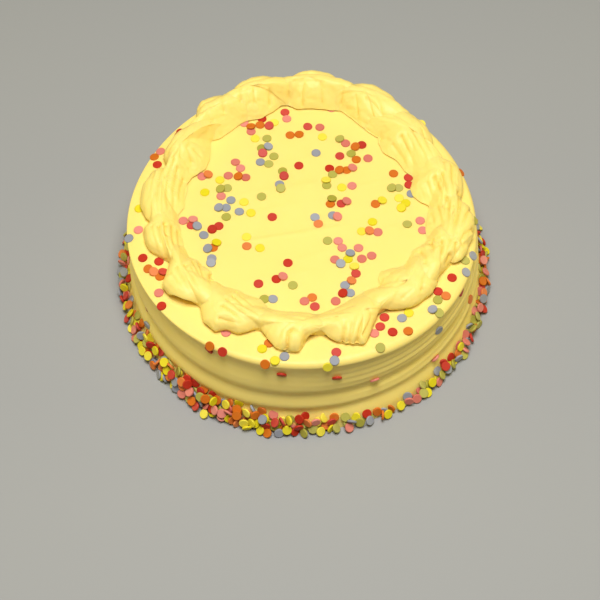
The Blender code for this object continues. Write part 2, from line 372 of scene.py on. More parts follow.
# a profile extruded point by point from one vertex, spun round the axis
def spunBody(name, profile, steps):
    deselectAll()
    bpy.ops.mesh.primitive_plane_add(size=mm, location=(profile[0][0], 0.0, profile[0][1]))
    piece = bpy.context.object
    piece.name = name
    editMode(piece)
    bpy.ops.mesh.merge(type="CENTER")
    for (radius, height), (nextRadius, nextHeight) in zip(profile, profile[1:]):
        step = (nextRadius - radius, 0.0, nextHeight - height)
        bpy.ops.mesh.extrude_vertices_move(TRANSFORM_OT_translate={"value": step})
    bpy.ops.mesh.select_all(action="SELECT")
    bpy.ops.mesh.spin(steps=steps, angle=2.0 * math.pi, center=(0.0, 0.0, 0.0), axis=(0.0, 0.0, 1.0))
    bpy.ops.mesh.select_all(action="SELECT")
    bpy.ops.mesh.remove_doubles(threshold=0.01 * mm)
    bpy.ops.mesh.normals_make_consistent(inside=False)
    objectMode()
    bpy.ops.object.transform_apply(location=True, rotation=True, scale=True)
    return piece


# half the outline of a plain drum with a rounded rim
def drumProfile():
    radius, top, rim = icedBody["topRadius"], icedBody["topHeight"], icedBody["plainRim"]
    wallRows, rimRows, topRows = icedBody["wallRows"], icedBody["rimRows"], icedBody["topRows"]
    profile = [(0.0, 0.0), (0.5 * radius, 0.0)]
    for row in range(wallRows + 1):
        profile.append((radius, (top - rim) * row / wallRows))
    for row in range(1, rimRows + 1):
        turn = math.pi / 2.0 * row / rimRows
        profile.append((radius - rim + rim * math.cos(turn), top - rim + rim * math.sin(turn)))
    for row in range(1, topRows + 1):
        profile.append(((radius - rim) * (1.0 - row / topRows), top))
    return profile


# every point of the plain drum moves to its place on the uneven cake
def makeIcedBody(material):
    radius = icedBody["topRadius"]
    top = icedBody["topHeight"]
    plainRim = icedBody["plainRim"]
    body = spunBody("iced_body", drumProfile(), icedBody["ringSteps"])

    plain = vectorsOf(body.data.vertices, "co")
    turn = np.arctan2(plain[:, 1], plain[:, 0])
    away = np.hypot(plain[:, 0], plain[:, 1])
    height = plain[:, 2]
    softness = smoothStep(0.55 + 1.1 * np.cos(turn - math.radians(icedBody["softSide"])))
    rim = between(icedBody["crispRim"], icedBody["softRim"], softness)
    wallHeight = height / (top - plainRim) * (top - rim)
    edge = wallRadius(top - rim, turn)
    slope = np.arctan2(height - (top - plainRim), np.maximum(away - (radius - plainRim), 1e-9))
    hair = 0.001 * mm
    isTop = height > top - hair
    isWall = (height <= top - plainRim + hair) & (away > radius - 10.0 * hair)
    isBase = (height < hair) & ~isWall
    topAway = away / (radius - plainRim) * (edge - rim)
    newAway = np.where(isWall, wallRadius(wallHeight, turn), edge - rim + rim * np.cos(slope))
    newAway = np.where(isTop, topAway, np.where(isBase, away, newAway))
    newHeight = np.where(isWall, wallHeight, top - rim + rim * np.sin(slope))
    newHeight = np.where(isTop, top, np.where(isBase, 0.0, newHeight))
    x = newAway * np.cos(turn)
    y = newAway * np.sin(turn)
    relief = topRelief(x, y) * smoothStep((edge - newAway) / icedBody["strokeFade"])
    newHeight = newHeight + np.where(isTop, relief, 0.0)
    ontoTop = smoothStep((newHeight - top) / icedBody["shoulderDepth"] + 1.0)
    newHeight = newHeight - ontoTop * shoulderDrop(newAway, turn, edge)
    movePoints(body, np.stack([x, y, newHeight], 1))
    # no painted shade on the iced body
    paintPoints(body, "painted_shade", np.zeros(len(plain)))

    body.data.materials.append(material)
    bpy.ops.object.shade_smooth_by_angle(angle=math.radians(50))
    print("iced body:", len(body.data.polygons), "faces")
    return body


# the piped border

border = {
    # start azimuth and height in mm of each shell, and the end that the nozzle's grooves begin at:
    # 1 is the far end and -1 is the start
    "shells": (
        (134, 13.2, 1), (156, 10.8, -1), (183, 10.4, -1), (203, 11.4, -1), (227, 10.0, -1),
        (252, 10.2, 1), (276, 9.8, 1), (302, 10.2, 1), (328, 10.8, 1), (346, 11.0, 1), (365, 11.6, 1),
        (384, 12.4, 1), (412, 13.4, 1), (433, 14.6, 1), (456, 14.2, 1), (477, 13.4, 1),
    ),
    # azimuth and radius in mm along the outer lip, which turns in deep between the shells
    "outerEdge": (
        (134, 85), (140, 87.4), (147, 87), (153, 86), (156, 81), (160, 87), (168, 89), (176, 88),
        (181, 85), (183, 82), (186, 86), (191, 86), (195, 85), (200, 80), (203, 76.5), (206, 80),
        (212, 87.2), (217, 87), (222, 84), (226.5, 79), (229, 82), (233, 85.7), (238, 87), (241, 83),
        (246, 82), (250, 77.5), (252.5, 75.5), (256, 80.4), (260, 86), (264, 87), (268.5, 86.4),
        (270.4, 80.5), (273, 78), (276, 76.4), (278, 78), (280, 81), (282, 83.4), (285.6, 85.6),
        (288, 87.2), (290.6, 87.8), (292.6, 85), (295, 81.3), (298.5, 76.6), (301.5, 74), (304.5, 75.2),
        (308.5, 78.4), (312, 81.6), (316, 82.7), (323, 84.6), (330, 81.5), (337, 84), (342, 88),
        (346, 90.5), (350, 91.8), (357, 91.6), (361, 90.4), (364, 86.5), (366, 86), (370, 87.7),
        (375, 89.4), (379, 89.6), (382.5, 86), (386.5, 80.5), (389, 81.5), (391.5, 84), (394, 87),
        (399, 89.6), (406, 89.6), (411, 89.5), (416, 93), (424, 95), (430, 93.4), (433.5, 91),
        (438, 94.4), (445, 96), (452, 94.6), (456, 91.6), (461, 94.6), (467, 96), (473, 94), (477, 90.5),
        (482, 93.6), (487, 95), (491, 90.5),
    ),
    "innerEdge": (
        (134, 73), (138, 68), (142, 64.5), (148, 62.4), (153, 64.5), (158, 67.4), (164, 65.5),
        (174, 64.6), (180, 68), (186, 65.8), (195, 66), (201, 67.9), (206, 62.6), (216, 60.1),
        (222, 63.8), (228, 60.5), (235, 57.9), (247, 57.6), (252, 61.5), (258, 61.6), (268, 61),
        (276, 63), (284, 61.4), (290.7, 59.5), (296, 58.4), (302, 57.4), (307, 59.8), (311, 59.4),
        (314, 55.4), (318, 54), (323, 57), (329, 62.4), (338, 61.8), (346, 67.5), (352, 65.5),
        (358, 65.8), (365, 68.2), (368, 63.6), (372, 60.7), (377, 60.6), (383, 65.4), (388, 63),
        (397, 63.5), (400, 62.4), (404, 61.6), (409.6, 64.8), (414.4, 70.6), (418, 69.4), (422, 69.6),
        (428.5, 73), (433, 76), (438, 75), (446.5, 75), (452, 74.4), (457.5, 79), (462, 75),
        (468.5, 71.6), (476, 73.4), (483, 71.4), (490, 70.6),
    ),
    # the nozzle's grooves: depth in mm, then azimuth and radius in mm from the sharp end to the faint one
    "grooves": (
        (0.9, (151, 69), (148, 74), (144, 75.5), (141.5, 71.5)), (0.8, (155, 78), (148, 77.5)),
        (0.7, (153, 83), (145, 81)), (0.5, (146, 71), (145.5, 67)), (0.5, (153, 74), (147, 79)),
        (1.0, (156, 77), (170, 74), (182, 71.5)), (1.1, (158, 81.4), (170, 79.4), (184, 77.4)),
        (0.7, (164, 76.8), (181, 74.6)), (0.9, (158, 72.8), (172, 70), (181, 69)),
        (0.7, (160, 85), (175, 82.5)), (0.8, (160, 68.8), (174, 67)), (1.1, (189, 77.6), (204, 78.5)),
        (1.2, (187.5, 73.5), (204, 75.4)), (1.1, (187, 69.6), (202, 72.2)), (0.7, (188, 81.6), (201, 81)),
        (0.8, (189, 66.9), (203, 69.8)), (0.9, (208, 66), (214, 67), (221, 70.5)),
        (0.9, (209, 62.6), (217, 66), (223, 70)), (1.0, (211, 72), (218, 73.5), (224, 76.5)),
        (0.8, (210.5, 77), (223, 78.5)), (0.6, (211, 81.5), (220, 81.5)), (0.8, (218, 61.5), (226, 69.5)),
        (0.6, (213, 69.4), (222, 72)), (1.0, (235, 61), (243, 64.5)),
        (1.1, (236.5, 66), (245, 69), (251, 71.5)), (1.0, (235.5, 70.5), (247, 74)),
        (1.0, (236, 75.5), (246, 76.5)), (0.9, (238, 82), (245, 79.5)), (0.6, (240, 63.2), (249, 66.5)),
        (1.5, (263.9, 87), (263.8, 79.5), (265.4, 77.3), (268.2, 78.6)),
        (0.6, (260.5, 87), (261, 79), (264, 74)), (0.5, (270, 71), (262, 70)),
        (0.5, (256, 66), (264, 64.5)), (0.5, (255, 80), (259, 73)),
        (1.0, (270, 85), (270.4, 80), (273.7, 77.4)), (0.5, (272.5, 66), (262, 66)),
        (1.2, (283, 84.3), (284.4, 79.5), (285.2, 75.4)), (0.9, (285.1, 85.8), (288, 79), (290.3, 73.3)),
        (1.4, (287.8, 86.4), (291, 80), (293.5, 75.1)),
        (1.0, (290.8, 85.2), (294.6, 79.5), (297.4, 75.3)), (0.5, (283, 71.5), (276, 70.6)),
        (0.6, (296.5, 76.5), (297, 71)), (0.5, (292, 65.5), (280, 66)), (0.5, (300, 71.5), (301, 66)),
        (0.7, (309, 64), (312, 70), (319, 72), (326, 70)), (0.6, (307, 62.5), (313, 58.5), (318, 60)),
        (0.6, (316, 60), (321, 61), (326, 65)), (0.8, (319, 81), (323, 77), (328, 76.5)),
        (0.5, (311, 77), (317, 77.5)), (0.5, (324, 85), (322, 80)), (0.4, (314, 66.5), (321, 66.5)),
        (0.9, (335.8, 66.6), (332.6, 70.8), (330, 74)), (1.2, (342.2, 70), (338.5, 72), (334, 74.4)),
        (1.3, (342, 76), (337.5, 78.2), (333, 79.6)), (1.1, (337.6, 83.2), (333.6, 82.4)),
        (1.1, (343, 84), (338.4, 85.8)), (0.8, (329.4, 72.7), (328.6, 77)),
        (0.7, (344, 80.4), (336, 81.2)), (0.9, (361, 71.4), (355.4, 72.6), (350, 74)),
        (1.2, (363.4, 77), (356.4, 76.4), (349, 77)),
        (1.5, (366.5, 85), (358.8, 83), (351, 81.2), (346, 80.6)),
        (1.2, (360.6, 91), (356, 87.3), (349.6, 83.9)),
        (1.1, (351.6, 91.4), (347.9, 87.3), (344.9, 86), (343.4, 87.6), (346, 89.8), (349.3, 91.6)),
        (0.6, (360, 67.8), (351, 69.8)), (0.7, (359.5, 80), (350, 79)), (0.6, (360, 74.4), (353, 75)),
        (1.2, (374.6, 73.1), (370, 72.9), (366, 74)), (1.2, (375.4, 77.8), (370, 77.2), (364.5, 77.9)),
        (1.2, (378.6, 85.6), (372.4, 82.4), (366, 81.4)), (0.7, (374, 68.6), (366.5, 70)),
        (0.6, (373, 75.2), (367, 75.6)), (0.7, (381, 82), (374, 79.6)),
        (1.1, (401, 71.6), (395.5, 69.4), (386.5, 68)), (1.0, (399, 77.4), (392.6, 74.6), (385, 73.6)),
        (0.9, (398, 83.4), (391, 79), (384.5, 78)), (0.7, (402, 66.4), (388, 64.8)),
        (0.7, (404, 87), (393, 83.6)), (0.5, (399.5, 74), (389, 71)), (0.5, (410, 79.6), (400, 80)),
        (0.6, (411, 68), (402, 67)), (0.8, (434, 80.4), (426, 83.6), (417, 84)),
        (0.8, (424, 81), (414.5, 76.4), (409.5, 77.6)), (0.5, (431, 76.5), (418, 73.5)),
        (0.6, (430, 88), (417, 88)), (0.4, (428, 72.6), (417, 70.5)), (0.6, (453, 84.5), (440, 84)),
        (0.4, (451, 78.5), (442, 77)), (0.7, (453, 89.5), (440, 89.5)), (0.6, (474, 84.5), (461, 83.5)),
        (0.4, (472, 78.5), (462, 77.6)), (0.7, (474, 89), (461, 89)), (0.9, (449.5, 76), (449, 86)),
        (0.7, (441.7, 77), (443.4, 89)), (0.8, (433.7, 78), (434, 88)), (0.8, (425.6, 74), (430, 85)),
        (0.7, (416.3, 78), (422.5, 88)), (0.7, (455.2, 80), (454.4, 87)), (0.9, (463, 77.5), (462.3, 84)),
        (0.7, (469.8, 78), (467, 89)), (0.8, (475, 80), (472.5, 90)), (0.7, (483, 79), (479.7, 90)),
        (0.6, (491, 84), (481, 83)), (0.5, (490, 77.5), (481, 77)), (0.7, (490.5, 88.5), (481, 88)),
    ),
    "grooveScale": 1.25,
    "grooveWidth": 1.25,  # mm from a groove's middle to its side
    "grooveRound": 1.1,  # 1 is a sharp bottom and 2 a round one
    "grooveFade": 0.65,  # how much shallower its faint end is
    "notch": 0.35,  # how much deeper its sharp end is, and over how many mm
    "notchReach": 1.4,
    "rippleStep": 1.9,  # mm between the fine ridges beside a groove
    "rippleCount": 2.2,
    "ripple": 0.34,  # their depth, as a share of the groove's
    # where the outer lip is arched up off the top: azimuth, half its width in degrees, how far up
    "arches": ((221, 4.4, 0.5), (274.6, 3.4, 0.6), (301.5, 2.8, 0.36), (383, 3.0, 0.3)),
    "meridians": 288,
    "rings": 64,
    "outline": 0.7,  # share of the way from crown to base at which the outline lies
    "lip": 0.8,  # and the lip below it
    "reach": 9.5,  # degrees that each shell reaches under or over the next one
    "corner": 4.2,  # 2 is an oval from above, more is squarer
    "middleOut": 0.40,  # its middle and its crown, between the inner and the outer edge
    "crownOut": 0.2,
    "crownAhead": 0.15,
    "endHeight": 0.84,  # of the end that the grooves begin at
    "restHeight": 0.92,
    "lipHeight": 0.27,
    "innerLip": 0.06,
    "flatness": (1.7, 4.0, 3.4),  # how full it is towards the inside, its ends and the outside
    "innerFall": 1.05,  # above 1 a flank runs out softly, below 1 it ends steeply
    "outerFall": 0.68,
    "lipRecess": 0.07,
    "archLift": 0.6,
    "archRecess": 0.5,
    "gap": 0.3 * mm,
    # painted shade in the grooves of the shells: where it starts, and the depth for its full strength
    "paintedShadeStart": 0.15,
    "paintedShadeDepth": 1.5,  # a groove this many mm deep gets the full painted shade
    "lumps": (12.0 * mm, 1.4 * mm),  # size and height
    "smallLumps": (4.5 * mm, 0.45 * mm),
}

halfDegrees = np.arange(720) * 0.5


# radius in mm every half degree along an edge of the border, a little rounded
def edgeCurve(points):
    azimuths, radii = zip(*points)
    radii = np.interp(halfDegrees, azimuths, radii, period=360.0)
    window = np.hanning(7)
    return np.convolve(np.pad(radii, 3, mode="wrap"), window / window.sum(), "valid")


def alongEdge(curve, azimuth):
    return np.interp(azimuth, halfDegrees, curve, period=360.0)


# how far the outer lip is arched up
def archAt(edgeAzimuth, aside):
    arch = np.zeros_like(edgeAzimuth)
    for azimuth, width, amount in border["arches"]:
        away = (edgeAzimuth - azimuth + 180.0) % 360.0 - 180.0
        arch = arch + amount * np.exp(-(away / width) ** 4) * smoothStep(aside * 3.0)
    return arch


# Place on a shell. down runs from the crown at 0 over the top, the outline and the lip
# to the middle of the base at 1, and around goes round the outline.
def shellPlace(number, down, around, outerCurve, innerCurve):
    start, height, way = border["shells"][number]
    end = border["shells"][(number + 1) % len(border["shells"])][0]
    if end < start:
        end += 360
    centre = (start + end) / 2.0
    half = (end - start) / 2.0 + border["reach"]
    inside = np.linspace(centre - 0.6 * half, centre + 0.6 * half, 30)
    inner = alongEdge(innerCurve, inside).mean()
    outer = alongEdge(outerCurve, inside).mean()
    middle = between(inner, outer, border["middleOut"])

    corner = border["corner"]
    reach = (np.abs(np.cos(around)) ** corner + np.abs(np.sin(around)) ** corner) ** (-1.0 / corner)
    edgeAzimuth = centre + half * np.cos(around) * reach
    aside = np.sin(around) * reach
    own = np.clip(edgeAzimuth, start, end)
    edgeRadius = middle + np.where(aside > 0.0, aside * (alongEdge(outerCurve, own) - middle),
                                   aside * (middle - alongEdge(innerCurve, own)))
    arch = archAt(edgeAzimuth, aside)

    slope = np.clip(down / border["outline"], 0.0, 1.0) * math.pi / 2.0
    under = np.clip((down - border["outline"]) / (border["lip"] - border["outline"]), 0.0, 1.0)
    home = np.clip((down - border["lip"]) / (1.0 - border["lip"]), 0.0, 1.0)
    spread = np.sin(slope) ** 0.8
    outwards = smoothStep(0.5 + aside)
    lip = between(border["innerLip"], border["lipHeight"], outwards) + border["archLift"] * arch
    fall = between(border["innerFall"], border["outerFall"], outwards)
    flatness = np.interp(aside, (-1.0, 0.0, 1.0), border["flatness"])
    dome = lip + (1.0 - lip) * np.maximum(1.0 - spread ** flatness, 0.0) ** fall
    recess = (border["lipRecess"] + border["archRecess"] * arch) * under
    spread = np.where(down > border["outline"], (1.0 - recess) * (1.0 - home), spread)
    crownAzimuth = centre + border["crownAhead"] * way * half
    crownRadius = middle + border["crownOut"] * (outer - inner)
    azimuth = between(crownAzimuth, edgeAzimuth, spread)
    radius = between(crownRadius, edgeRadius, spread)

    ahead = (azimuth - centre) / half * way
    swell = 1.0 - (1.0 - border["endHeight"]) * smoothStep((ahead - 0.1) / 0.9)
    swell = swell - (1.0 - border["restHeight"]) * smoothStep((-ahead - 0.3) / 0.7)
    level = np.where(down > border["outline"], lip * (1.0 - under), dome)
    base = icedBody["topHeight"] + border["gap"]
    turn = np.radians(azimuth)
    away = radius * mm
    return np.stack([away * np.cos(turn), away * np.sin(turn), base + height * mm * swell * level], 1)


# depth in mm of the grooves at each point of a shell
def grooveDepth(number, places):
    start = border["shells"][number][0]
    depth = np.zeros(len(places))
    x = places[:, 0] / mm
    y = places[:, 1] / mm
    steps = np.linspace(0.0, 1.0, 25)
    for deepest, *route in border["grooves"]:
        if (route[0][0] - start + 20) % 360 > 70:
            continue
        azimuths, radii = zip(*route)
        knots = np.linspace(0.0, 1.0, len(route))
        turns = np.radians(np.interp(steps, knots, azimuths))
        lengths = np.interp(steps, knots, radii)
        gaps = np.hypot(x[:, None] - lengths * np.cos(turns), y[:, None] - lengths * np.sin(turns))
        gap = gaps.min(1)
        run = steps[gaps.argmin(1)]
        ripple = 0.5 + 0.5 * np.cos(2.0 * math.pi * gap / border["rippleStep"])
        rippleReach = border["rippleCount"] * border["rippleStep"]
        ripple = border["ripple"] * ripple * np.exp(-(gap / rippleReach) ** 2)
        side = np.maximum(np.exp(-(gap / border["grooveWidth"]) ** border["grooveRound"]), ripple)
        strength = 1.0 - border["grooveFade"] * smoothStep((run - 0.5) / 0.5)
        strength = strength + border["notch"] * np.exp(-(gaps[:, 0] / border["notchReach"]) ** 2)
        depth = np.maximum(depth, border["grooveScale"] * deepest * side * strength)
    return depth


def makeShell(number, dab, material, outerCurve, innerCurve):
    shell = newObject(f"piped_shell_{number + 1:02d}", dab.data.copy())
    selectOnly(shell)
    plain = vectorsOf(shell.data.vertices, "co")
    polar = np.arccos(np.clip(plain[:, 2], -1.0, 1.0)) / math.pi
    down = np.interp(polar, (0.0, 0.8, 0.9, 1.0), (0.0, border["outline"], border["lip"], 1.0))
    around = -np.arctan2(plain[:, 1], plain[:, 0])
    places = shellPlace(number, down, around, outerCurve, innerCurve)
    movePoints(shell, places)
    facings = vectorsOf(shell.data.vertex_normals, "vector")
    depth = grooveDepth(number, places) * smoothStep((border["lip"] - 0.01 - down) / 0.06)
    movePoints(shell, places - facings * depth[:, None] * mm)
    # painted shade: the deeper a groove, the more its colour is darkened
    paintPoints(shell, "painted_shade", smoothStep(depth / border["paintedShadeDepth"] - border["paintedShadeStart"]))

    for name in ("lumps", "smallLumps"):
        size, height = border[name]
        cloud = bpy.data.textures.new(f"{name} {number + 1}", "CLOUDS")
        cloud.noise_scale = size
        uneven = shell.modifiers.new(name, "DISPLACE")
        uneven.texture = cloud
        uneven.texture_coords = "LOCAL"
        uneven.strength = height
        uneven.mid_level = 0.5
        bpy.ops.object.modifier_apply(modifier=uneven.name)
    shell.data.materials.append(material)
    bpy.ops.object.shade_smooth()
    return shell


def makeBorder(material):
    outerCurve = edgeCurve(border["outerEdge"])
    innerCurve = edgeCurve(border["innerEdge"])
    deselectAll()
    bpy.ops.mesh.primitive_uv_sphere_add(
        segments=border["meridians"], ring_count=border["rings"], radius=1.0)
    dab = bpy.context.object
    shells = [makeShell(number, dab, material, outerCurve, innerCurve)
              for number in range(len(border["shells"]))]
    bpy.data.objects.remove(dab, do_unlink=True)
    print("piped border:", len(shells), "shells")
    return shells


# confetti discs

confetti = {
    "radius": 2.6 * mm,
    "thickness": 1.1 * mm,
    "sides": 16,
    "edge": 0.22 * mm,  # bevel round each flat side
    "colours": {
        "red": (0.50, 0.020, 0.002, 1.0),
        "pink": (0.66, 0.19, 0.14, 1.0),
        "orange": (0.65, 0.155, 0.006, 1.0),
        "yellow": (0.76, 0.64, 0.02, 1.0),
        "green": (0.42, 0.385, 0.065, 1.0),
        "blue": (0.29, 0.30, 0.34, 1.0),
    },
    # clusters on the top inside the border: x and y of the middle, spread in mm, the discs' colours
    "top": (
        (-8, -30, 0.4, "red"), (-13, -40, 1.2, "red pink"), (-7, -44, 0.4, "green"),
        (-24, -43, 0.4, "red"), (-17, -54, 2.2, "blue green"), (5, -54, 3.4, "pink pink orange red"),
        (16, -47, 4.2, "blue red blue"), (24, -39, 4.2, "red orange yellow"), (14, -30, 3.0, "pink blue"),
        (30, -30, 2.4, "pink pink"), (23, -26, 2.0, "yellow"), (15, -18, 3.0, "pink green"),
        (25, -18, 2.6, "pink pink blue"), (27, -6, 4.0, "yellow yellow"), (16, -5, 3.2, "blue pink"),
        (9, -4, 0.6, "orange"), (6, 0, 0.4, "blue"), (36, -10, 2.4, "orange pink"),
        (20, 8, 3.2, "red orange pink"), (16, 17, 3.4, "green green"), (22, 19, 0.6, "yellow"),
        (28, 22, 2.0, "pink"), (13, 27, 2.6, "green yellow"), (20, 31, 3.0, "red orange orange"),
        (27, 32, 1.8, "pink"), (35, 37, 2.8, "orange pink"), (19, 43, 2.0, "red"),
        (31, 47, 2.4, "red orange green"), (23, 51, 2.4, "pink green"), (7, 44, 0.4, "blue"),
        (-2, 36, 0.5, "red"), (2, 58, 2.2, "red orange"), (9, 63, 1.4, "pink"), (14, 56, 1.8, "yellow"),
        (-7, 57, 1.4, "orange"), (-14, 63, 1.8, "yellow"), (-21, 67, 3.0, "red orange"),
        (-31, 63, 2.0, "pink orange"), (-23, 55, 2.8, "yellow green"), (-19, 49, 3.4, "green green blue"),
        (-22, 41, 3.8, "blue red green"), (-34, 36, 1.2, "pink"), (-33, 29, 4.4, "pink pink pink orange"),
        (-17, 29, 2.6, "blue green"), (-10, 27, 0.6, "red"), (-12, 19, 0.8, "green"),
        (-23, 13, 1.0, "green"), (-46, 24, 3.4, "yellow green"), (-51, 20, 3.4, "yellow green"),
        (-55, 32, 2.0, "pink orange"), (-42, 11, 4.0, "blue pink blue blue"),
        (-32, 4, 3.0, "yellow yellow"), (-42, 2, 3.4, "green blue"), (-17, 0, 0.4, "red"),
        (-46, -5, 0.6, "red"), (-58, -7, 3.8, "red pink pink red"), (-54, -7, 2.8, "blue blue"),
        (-30, -16, 3.4, "orange yellow yellow"), (-47, -19, 3.0, "orange blue yellow"),
        (-50, -27, 2.8, "blue blue"), (54, 8, 3.6, "yellow yellow yellow"), (51, 15, 2.8, "green green"),
        (40, 12, 3.0, "orange yellow"), (50, 28, 1.0, "orange"), (59, 20, 1.6, "red orange"),
        (57, -5, 1.2, "green"),
    ),
    # on the ledge outside the border: azimuth and radius in mm of the middle, spread in mm, colours
    "ledge": (
        (184, 88, 1.4, "pink"), (188, 93, 1.0, "blue"), (196.5, 89.1, 0.4, "red"),
        (201, 88.5, 0.5, "orange"), (203.4, 87.2, 0.5, "orange"), (212, 89.9, 0.4, "pink"),
        (206, 84.5, 0.6, "red"), (175, 88, 1.2, "yellow"), (154, 90, 1.8, "red orange"),
        (149, 92, 1.2, "pink"), (139, 91, 1.6, "red orange"), (216, 92.6, 0.6, "red"),
        (239, 93, 0.4, "orange"), (244, 95, 0.4, "red"), (255, 85.5, 0.4, "yellow"),
        (259.4, 90.2, 0.5, "yellow"), (263, 89, 0.4, "blue"), (256.6, 94.5, 0.4, "orange"),
        (280.6, 87, 0.4, "red"), (279.3, 92, 0.4, "blue"), (277, 93, 0.4, "yellow"),
        (301, 86.8, 0.4, "red"), (306.3, 90.7, 0.4, "orange"), (307.8, 82.4, 0.5, "blue"),
        (311, 83, 0.6, "yellow"), (296, 92, 1.0, "green"), (322, 87.5, 0.5, "green"),
        (319, 93, 1.0, "green blue"), (337, 91.8, 0.5, "blue green"), (344, 90, 2.4, "blue green"),
        (358, 91, 1.0, "green"), (19, 92, 1.0, "orange"), (46, 93, 1.4, "pink yellow"),
        (72, 95, 0.8, "blue"), (93, 95, 1.0, "red"), (115, 93, 1.4, "orange yellow"),
    ),
    # on the side: azimuth, height in mm, how far it faces up, colour
    "side": (
        (205, 27, 0.0, "pink"), (208, 18, 0.0, "blue"), (238, 47, 0.0, "red"),
        (262.5, 43.5, -0.65, "red"), (280, 39, -0.6, "red"), (292.5, 28.5, -0.6, "pink"),
        (316, 16.5, -0.6, "pink"), (318, 38, 0.0, "blue"), (332, 45, 0.0, "red"),
        (340, 21, 0.0, "orange"), (20, 30, 0.0, "yellow"), (64, 22, 0.0, "pink"), (112, 35, 0.0, "green"),
        (155, 24, 0.0, "orange"), (170, 40, 0.0, "blue"),
    ),
    # discs partly under the border: x and y in mm, colour
    "tucked": (
        (-40.5, -72.7, "pink"), (-18.4, -79.6, "orange"), (41.2, -64.5, "red"), (38.8, -70.2, "red"),
        (35.6, -74.4, "pink"), (69.7, -48.8, "red"), (73.7, -51.3, "orange"), (77.5, -40.1, "red"),
        (58.6, 15.0, "blue"), (62.6, -3.0, "pink"), (63.6, -9.5, "pink"), (57.6, 26.0, "red"),
        (-76.6, -27.8, "red"), (-75.7, -37.4, "orange"), (-9.6, 73.2, "red"), (-8.6, 68.4, "pink"),
        (-22.5, 68.6, "red"), (-32.5, 65.4, "pink"), (16.5, 75.6, "pink"),
    ),
    "footShares": {"red": 3, "pink": 3, "orange": 4, "yellow": 5, "green": 4, "blue": 2},
    "footDiscs": 590,  # at most
    "footHeight": 9.5 * mm,
    "footPile": 243.0,  # azimuth where they lie deepest, and its reach in degrees
    "pileReach": 22.0,
    "footDepths": (3.0 * mm, 5.6 * mm),  # how far out they may lie, elsewhere and there
    "footTurn": 28.0,  # how unevenly they face, in degrees round the cake
    "press": 0.45 * mm,  # how far a disc sinks into the icing
    "tilt": 0.05,
    "leanClearance": 0.1 * mm,  # between a leaning disc and what it leans on
    "step": 0.3 * mm,  # a disc moves outwards by this much until it is clear
    "tries": 40,
    "rimPoints": 10,
    "seed": 11,
}

draw = random.Random(confetti["seed"])


def confettiDisc():
    deselectAll()
    bpy.ops.mesh.primitive_cylinder_add(
        vertices=confetti["sides"], radius=confetti["radius"], depth=confetti["thickness"])
    disc = bpy.context.object
    editMode(disc)
    bpy.ops.mesh.select_all(action="DESELECT")
    objectMode()
    for edge in disc.data.edges:
        heights = [disc.data.vertices[corner].co.z for corner in edge.vertices]
        edge.select = abs(heights[0] - heights[1]) < 0.01 * mm
    bpy.ops.object.mode_set(mode="EDIT")
    bpy.ops.mesh.select_mode(type="EDGE")
    bpy.ops.mesh.bevel(offset=confetti["edge"], segments=1)
    objectMode()
    corners = vectorsOf(disc.data.vertices, "co")
    faces = [list(face.vertices) for face in disc.data.polygons]
    bpy.data.objects.remove(disc, do_unlink=True)
    return corners, faces


# A disc is its colour, its middle and the way its flat side faces. Two discs clash
# where a point on one's rim or its middle is inside the other.
class Discs:
    def __init__(self, body, shells):
        self.bodyTree = treeOf(body)
        self.shellTrees = [treeOf(shell) for shell in shells]
        self.colours = []
        self.middles = np.empty((0, 3))
        self.facings = np.empty((0, 3))
        self.rims = np.empty((0, confetti["rimPoints"] + 1, 3))

    def add(self, colour, middle, facing):
        self.colours.append(colour)
        self.middles = np.vstack([self.middles, middle])
        self.facings = np.vstack([self.facings, facing])
        self.rims = np.vstack([self.rims, (rimSpokes(facing) + np.asarray(middle))[None]])

    def near(self, middle, reach):
        return np.nonzero(np.linalg.norm(self.middles - np.asarray(middle), axis=1) < reach)[0]

    def clash(self, middle, facing, spokes=None):
        others = self.near(middle, 2.0 * confetti["radius"])
        if not len(others):
            return False
        middle = np.asarray(middle)
        rim = (rimSpokes(facing) if spokes is None else spokes) + middle
        ahead = rim[None] - self.middles[others][:, None]
        if anyInside(ahead, self.facings[others][:, None]):
            return True
        return anyInside(self.rims[others] - middle, np.asarray(facing))


def rimSpokes(facing):
    turned = np.array(Vector(facing).to_track_quat("Z", "Y").to_matrix())
    angles = np.arange(confetti["rimPoints"]) * math.pi / (0.5 * confetti["rimPoints"])
    circle = np.stack([np.cos(angles), np.sin(angles), 0.0 * angles], 1) * 0.85 * confetti["radius"]
    return np.vstack([np.zeros(3), circle]) @ turned.T


def anyInside(away, facing):
    axial = (away * facing).sum(-1)
    radial = np.linalg.norm(away - axial[..., None] * facing, axis=-1)
    inside = (np.abs(axial) < 0.85 * confetti["thickness"]) & (radial < 0.9 * confetti["radius"])
    return bool(np.any(inside))


# the highest point of a surface over a place, and the way it faces there
def groundAt(tree, x, y):
    place, normal, _, _ = tree.ray_cast(Vector((x, y, 0.2)), Vector((0.0, 0.0, -1.0)))
    return place, normal


